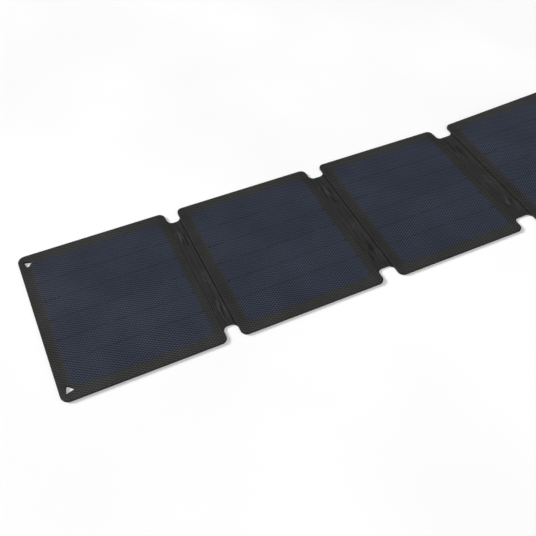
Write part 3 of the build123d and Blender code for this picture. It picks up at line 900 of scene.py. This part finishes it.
def flat_web(gap, hinge):
    """A hinge cloth laid flat: vertices, faces and each vertex's distance from the edge."""
    loop = web_loop(gap, WEB_STEP)
    reach = gap / 2 + TONGUE
    across = np.arange(-int(reach / WEB_GRID), int(reach / WEB_GRID) + 1) * WEB_GRID
    along = np.arange(-int(WEB_END / WEB_STEP), int(WEB_END / WEB_STEP) + 1) * WEB_STEP
    grid = np.stack(np.meshgrid(across, along), -1).reshape(-1, 2)
    grid = grid[(inside_loop(grid, loop) > 0) & (loop_distance(grid, loop) > WEB_GRID_CLEAR)]
    flat, flat_faces, (ring,) = fill([loop], grid, lambda p: inside_loop(p, loop))
    edge = loop_distance(flat, loop)
    upper = np.c_[flat, web_top(flat, gap, hinge, edge)]
    lower = np.c_[flat, web_bottom(flat, gap, hinge, edge)]
    faces = [tuple(f) for f in oriented(flat, flat_faces, True)]
    faces += [tuple(f + len(flat)) for f in oriented(flat, flat_faces, False)]
    faces += wall_between(ring, [place + len(flat) for place in ring], signed_area(loop) > 0)
    return np.concatenate([upper, lower]), faces, np.tile(edge, 2)


def bent_web(verts, hinge):
    """The vertices turned about the fold line as far as the two leaves are at rest."""
    pivot = hinge_pivot(hinge)
    tip = TILT if hinge == LEAVES - 1 else 0.0
    half = FOLD_HALF[hinge]
    share = smooth((verts[:, 0] + half) / (2 * half))
    angle = tip * share
    height = verts[:, 2] - pivot[1]
    bent = verts.copy()
    bent[:, 0] = pivot[0] + verts[:, 0] * np.cos(angle) - height * np.sin(angle)
    bent[:, 2] = pivot[1] + verts[:, 0] * np.sin(angle) + height * np.cos(angle)
    return bent


def build_web(hinge, material):
    """One cloth hinge, bent as its two leaves are at rest and blended across their fold."""
    gap = GAPS[hinge - 1]
    verts, faces, edge = flat_web(gap, hinge)
    piece = make_object(f"hinge_cloth_{hinge}", verts, faces, Matrix.Identity(4), material)
    bent = bent_web(verts, hinge) * MM
    piece.data.vertices.foreach_set("co", bent.astype(np.float32).ravel())
    piece.data.update()
    set_values(piece.data, "edge", edge)
    set_values(piece.data, "across", verts[:, 0] / (gap / 2))
    # The hinge cloth's material paints shade in the troughs and highlights on the ridges from these
    # fold heights.
    relief = web_folds(verts[:, 0], verts[:, 1], gap / 2, hinge)
    set_values(piece.data, "relief", relief)
    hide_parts(f"hinge_web_{hinge}_left", f"hinge_web_{hinge}_right")
    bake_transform(piece)


def web_material():
    """Smooth coated cloth with a faint grain, with painted shade in its crease, its seam groove and
    its fold troughs, and painted highlights on its welt and fold ridges.
    """
    n = Nodes("hinge_cloth")
    u, v, place = n.leaf_place()
    broad = n.noise(place, 30.0, 3.0, 0.6)
    streaks = n.noise(place, 55.0, 3.0, 0.6, (9.0, 1.0, 1.0))
    grain = n.noise(place, 1500.0, 3.0, 0.65)
    thread = n.mul(n.wave(u, 0.9), n.wave(v, 0.9))
    colour = n.mix(n.ramp(broad, 0.3, 0.7), *WEB_TONES)
    colour = n.shade(colour, n.ramp(streaks, 0.3, 0.7, 0.86, 1.12))
    colour = n.shade(colour, n.ramp(grain, 0.3, 0.7, 0.90, 1.10))
    relief = n.attribute("relief")
    # Painted shade in the fold troughs and painted highlights on the fold ridges.
    colour = n.shade(colour, n.ramp(relief, -0.17, 0.19, 0.38, 1.6))
    across = n.attribute("across")
    # Painted shadow along the crease beside the next leaf's edge.
    in_crease = n.mul(n.ramp(across, 0.87, 0.91), n.ramp(across, 1.03, 0.995))
    crease_shade_share = n.mul(in_crease, n.ramp(broad, 0.25, 0.5, 0.7, 0.9))
    colour = n.mix(crease_shade_share, colour, CREASE_SHADE_TONE)
    # Painted shade in the groove at the first leaf's edge.
    in_seam = n.mul(n.ramp(across, -1.03, -0.99), n.ramp(across, -0.91, -0.95))
    colour = n.mix(n.mul(in_seam, 0.6), colour, SEAM_SHADE_TONE)
    # Painted highlight on the raised welt.
    on_welt = n.mul(n.ramp(across, -0.94, -0.88), n.ramp(across, -0.76, -0.82))
    welt_highlight_share = n.mul(on_welt, n.ramp(streaks, 0.4, 0.6, 0.05, 0.4))
    colour = n.mix(welt_highlight_share, colour, WELT_HIGHLIGHT_TONE)
    edge = n.attribute("edge")
    worn = n.mul(n.ramp(edge, 0.8, 0.2), n.ramp(n.noise(place, 300.0, 4.0, 0.7), 0.4, 0.7))
    colour = n.mix(n.mul(worn, 0.3), colour, WORN_WEB)
    height = n.add(n.add(n.mul(thread, 0.25), n.mul(grain, 0.8)), n.mul(streaks, 1.4))
    normal = n.bump(height, 0.09 * MM, 0.7)
    roughness = n.add(n.ramp(broad, 0.3, 0.7, 0.52, 0.62), n.mul(n.sub(streaks, 0.5), 0.15))
    return n.finish(colour, roughness, normal, Specular_IOR_Level=0.3, IOR=1.4)


# ---------------------------------------------------------------- pieces that stay as in CAD


def plastic_material(name, dark, light, roughness, grain=900.0, depth=0.03, worn=(0.12, 0.12, 0.118)):
    """Moulded plastic or rubber: fine grain, slow mottling and pale scuffs."""
    n = Nodes(name)
    place = n.object_place()
    broad = n.noise(place, 55.0, 3.0, 0.6)
    fine = n.noise(place, grain, 4.0, 0.65)
    scuff = n.noise(place, 210.0, 5.0, 0.7, (1.0, 4.0, 1.0))
    edge = n.tree.nodes.new("ShaderNodeNewGeometry").outputs["Pointiness"]
    colour = n.mix(n.ramp(broad, 0.3, 0.7), dark, light)
    colour = n.shade(colour, n.ramp(fine, 0.25, 0.75, 0.90, 1.10))
    rubbed = n.mul(n.ramp(edge, 0.52, 0.60), n.ramp(scuff, 0.42, 0.62))
    colour = n.mix(n.mul(rubbed, 0.5), colour, worn)
    height = n.add(fine, n.mul(scuff, 0.5))
    normal = n.bump(height, depth * MM, 0.8)
    spread = n.add(n.ramp(fine, 0.3, 0.7, roughness, roughness + 0.10), n.mul(scuff, 0.08))
    return n.finish(colour, spread, normal)


def board_material():
    """Stiff black fibre board, seen at its cut edge: short fibres and layers."""
    n = Nodes("core_board")
    place = n.object_place()
    layers = n.noise(place, 70.0, 3.0, 0.6, (1.0, 1.0, 60.0))
    fibre = n.noise(place, 700.0, 4.0, 0.7, (1.0, 3.0, 1.0))
    colour = n.mix(n.ramp(layers, 0.35, 0.65), (0.010, 0.010, 0.010), (0.024, 0.024, 0.023))
    colour = n.shade(colour, n.ramp(fibre, 0.3, 0.7, 0.8, 1.2))
    normal = n.bump(n.add(layers, fibre), 0.05 * MM, 0.8)
    return n.finish(colour, n.ramp(fibre, 0.3, 0.7, 0.75, 0.9), normal)


def metal_material(name, colour, roughness, brush=(1.0, 40.0, 1.0)):
    """Bright or tinned metal with fine brushing and spots of tarnish."""
    n = Nodes(name)
    place = n.object_place()
    lines = n.noise(place, 160.0, 4.0, 0.7, brush)
    spots = n.noise(place, 420.0, 3.0, 0.6)
    dull = tuple(0.72 * channel for channel in colour)
    shown = n.mix(n.ramp(spots, 0.45, 0.75), colour, dull)
    shown = n.shade(shown, n.ramp(lines, 0.3, 0.7, 0.9, 1.08))
    normal = n.bump(lines, 0.01 * MM, 0.6)
    spread = n.ramp(lines, 0.3, 0.7, roughness, roughness + 0.12)
    return n.finish(shown, spread, normal, Metallic=1.0)


def cell_material():
    """Blue-black silicon with its thin silver fingers."""
    n = Nodes("cells")
    place = n.object_place()
    finger = n.ramp(n.wave(n.along(place, 0), 1.6), 0.86, 0.97)
    crystal = n.noise(place, 90.0, 3.0, 0.5)
    colour = n.mix(n.ramp(crystal, 0.3, 0.7), (0.008, 0.010, 0.022), (0.013, 0.018, 0.036))
    colour = n.mix(n.mul(finger, 0.6), colour, (0.20, 0.20, 0.20))
    return n.finish(colour, n.ramp(crystal, 0.3, 0.7, 0.22, 0.32), n.bump(finger, 0.01 * MM, 0.5))


def circuit_material():
    """Green solder mask over its tracks."""
    n = Nodes("circuit")
    place = n.object_place()
    rows = n.wave(n.along(place, 1), 2.4)
    wander = n.noise(place, 260.0, 1.0, 0.3)
    track = n.ramp(n.add(rows, wander), 0.8, 1.0)
    colour = n.mix(track, (0.006, 0.060, 0.022), (0.012, 0.105, 0.040))
    normal = n.bump(track, 0.03 * MM, 0.7)
    return n.finish(colour, n.ramp(wander, 0.3, 0.7, 0.3, 0.4), normal, Coat_Weight=0.3)


def lens_material():
    """Clear moulded light window, a little milky inside."""
    n = Nodes("lens")
    place = n.object_place()
    cloud = n.noise(place, 900.0, 3.0, 0.6)
    colour = n.mix(n.ramp(cloud, 0.3, 0.7), (0.42, 0.44, 0.46), (0.62, 0.64, 0.66))
    normal = n.bump(cloud, 0.01 * MM, 0.6)
    return n.finish(
        colour, n.ramp(cloud, 0.3, 0.7, 0.12, 0.24), normal, Transmission_Weight=0.35, IOR=1.49
    )


def cad_finishes():
    """The finish of each kind of CAD piece, by the start of its node's name."""
    plastic = plastic_material("box_plastic", (0.016, 0.016, 0.016), (0.021, 0.021, 0.021), 0.48)
    rubber = plastic_material(
        "rubber", (0.011, 0.011, 0.011), (0.017, 0.017, 0.017), 0.72, 1600.0, 0.05,
        worn=(0.045, 0.045, 0.044),
    )
    insert = plastic_material(
        "socket_plastic", (0.70, 0.70, 0.68), (0.80, 0.80, 0.78), 0.38, worn=(0.6, 0.6, 0.58)
    )
    coil = plastic_material("coil", (0.05, 0.048, 0.046), (0.085, 0.08, 0.075), 0.6, 500.0, 0.06)
    copper = metal_material("tinned_copper", (0.72, 0.66, 0.58), 0.30)
    steel = metal_material("socket_steel", (0.62, 0.61, 0.59), 0.24)
    screw = metal_material("screw_steel", (0.10, 0.10, 0.10), 0.38, (20.0, 20.0, 1.0))
    can = metal_material("can", (0.55, 0.55, 0.56), 0.34, (30.0, 30.0, 1.0))
    board = board_material()
    return {
        "core_board": board, "encapsulant": board,
        "leads": copper, "cell_tabs": copper, "cell_strips": cell_material(),
        "box_base": plastic, "box_lid": plastic, "port_cover": rubber, "lid_seal": rubber,
        "lid_screws": screw, "cover_pin": screw, "circuit_board": circuit_material(),
        "power_coil": coil, "capacitors": can, "usb_a_shell": steel, "usb_c_shell": steel,
        "usb_a_insert": insert, "usb_c_insert": insert, "status_lens": lens_material(),
    }


def finish_nodes():
    """Gives every CAD piece that still shows its own finish."""
    finishes = cad_finishes()
    for name, node in frame["nodes"].items():
        for start, material in finishes.items():
            if name.startswith(start):
                for slot in node.material_slots:
                    slot.material = material
                if not node.material_slots:
                    node.data.materials.append(material)


# ---------------------------------------------------------------- floor, lights and camera

FLOOR_HALF = 30.0
FLOOR_DROP = 0.0002
SKY_STRENGTH = 0.16
BACKDROP = (0.93, 0.93, 0.93, 1)
SENSOR_MM = 36
FOCAL_MM = 45.25
CAMERA_AZIMUTH = math.radians(-27.251)
CAMERA_ELEVATION = math.radians(50.539)
CAMERA_ROLL = math.radians(2.326)
CAMERA_PLACE = Vector((-0.364809, -0.481049, 0.618722))


def place_camera():
    """A camera with the photograph's place and angle, turned a little about its own axis."""
    level = math.cos(CAMERA_ELEVATION)
    back = Vector((
        math.sin(CAMERA_AZIMUTH) * level, -math.cos(CAMERA_AZIMUTH) * level,
        math.sin(CAMERA_ELEVATION),
    ))
    right = (-back).cross(Vector((0, 0, 1))).normalized()
    up = right.cross(-back)
    turned_right = right * math.cos(CAMERA_ROLL) + up * math.sin(CAMERA_ROLL)
    turned_up = -right * math.sin(CAMERA_ROLL) + up * math.cos(CAMERA_ROLL)
    data = bpy.data.cameras.new("camera")
    data.sensor_width = SENSOR_MM
    data.lens = FOCAL_MM
    camera = bpy.data.objects.new("camera", data)
    columns = Matrix((turned_right, turned_up, back)).transposed()
    camera.matrix_world = Matrix.Translation(CAMERA_PLACE) @ columns.to_4x4()
    bpy.context.scene.collection.objects.link(camera)
    bpy.context.scene.camera = camera


def build_floor():
    """A wide pale floor with slow changes of tone, just under the flat leaves."""
    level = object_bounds()[0].z - FLOOR_DROP
    mesh = bpy.data.meshes.new("floor")
    signs = ((-1, -1), (1, -1), (1, 1), (-1, 1))
    corners = [(x * FLOOR_HALF, y * FLOOR_HALF, level) for x, y in signs]
    mesh.from_pydata(corners, [], [(0, 1, 2, 3)])
    floor = bpy.data.objects.new("floor", mesh)
    bpy.context.scene.collection.objects.link(floor)
    n = Nodes("floor")
    tone = n.noise(n.object_place(), 3.0, 2.0, 0.5)
    colour = n.mix(n.ramp(tone, 0.3, 0.7), (0.90, 0.90, 0.90), (0.93, 0.93, 0.93))
    mesh.materials.append(n.finish(colour, n.ramp(tone, 0.3, 0.7, 0.7, 0.8)))


def add_sun(name, source, spread, strength):
    """Light from far away: source is where it comes from, spread its angular width in degrees."""
    data = bpy.data.lights.new(name, "SUN")
    data.angle = math.radians(spread)
    data.energy = strength
    light = bpy.data.objects.new(name, data)
    light.rotation_euler = Vector(source).to_track_quat("Z", "Y").to_euler()
    bpy.context.scene.collection.objects.link(light)


def light_studio():
    """Soft light from behind and the left, a broad top light, a weak fill and a pale surround."""
    add_sun("key", (-0.70, 0.62, 0.46), 18, 3.4)
    add_sun("top", (-0.25, -0.35, 0.95), 60, 1.35)
    add_sun("fill", (0.75, -0.75, 0.65), 50, 0.35)
    world = bpy.data.worlds.new("surround")
    world.use_nodes = True
    nodes = world.node_tree.nodes
    links = world.node_tree.links
    sky = nodes["Background"]
    sky.inputs["Color"].default_value = (1, 1, 1, 1)
    sky.inputs["Strength"].default_value = SKY_STRENGTH
    backdrop = nodes.new("ShaderNodeBackground")
    backdrop.inputs["Color"].default_value = BACKDROP
    rays = nodes.new("ShaderNodeLightPath")
    choose = nodes.new("ShaderNodeMixShader")
    links.new(rays.outputs["Is Camera Ray"], choose.inputs[0])
    links.new(sky.outputs[0], choose.inputs[1])
    links.new(backdrop.outputs[0], choose.inputs[2])
    links.new(choose.outputs[0], nodes["World Output"].inputs["Surface"])
    bpy.context.scene.world = world
    bpy.context.scene.view_settings.view_transform = "Standard"


def build_all():
    """The visual pieces of the panel and the finishes of its CAD pieces."""
    film = film_material()
    back = cloth_material()
    web = web_material()
    finish_nodes()
    for number in range(1, LEAVES + 1):
        build_film(number, film)
        build_back_cloth(number, back)
    for hinge in range(1, LEAVES):
        build_web(hinge, web)


build_all()
build_floor()
light_studio()
place_camera()
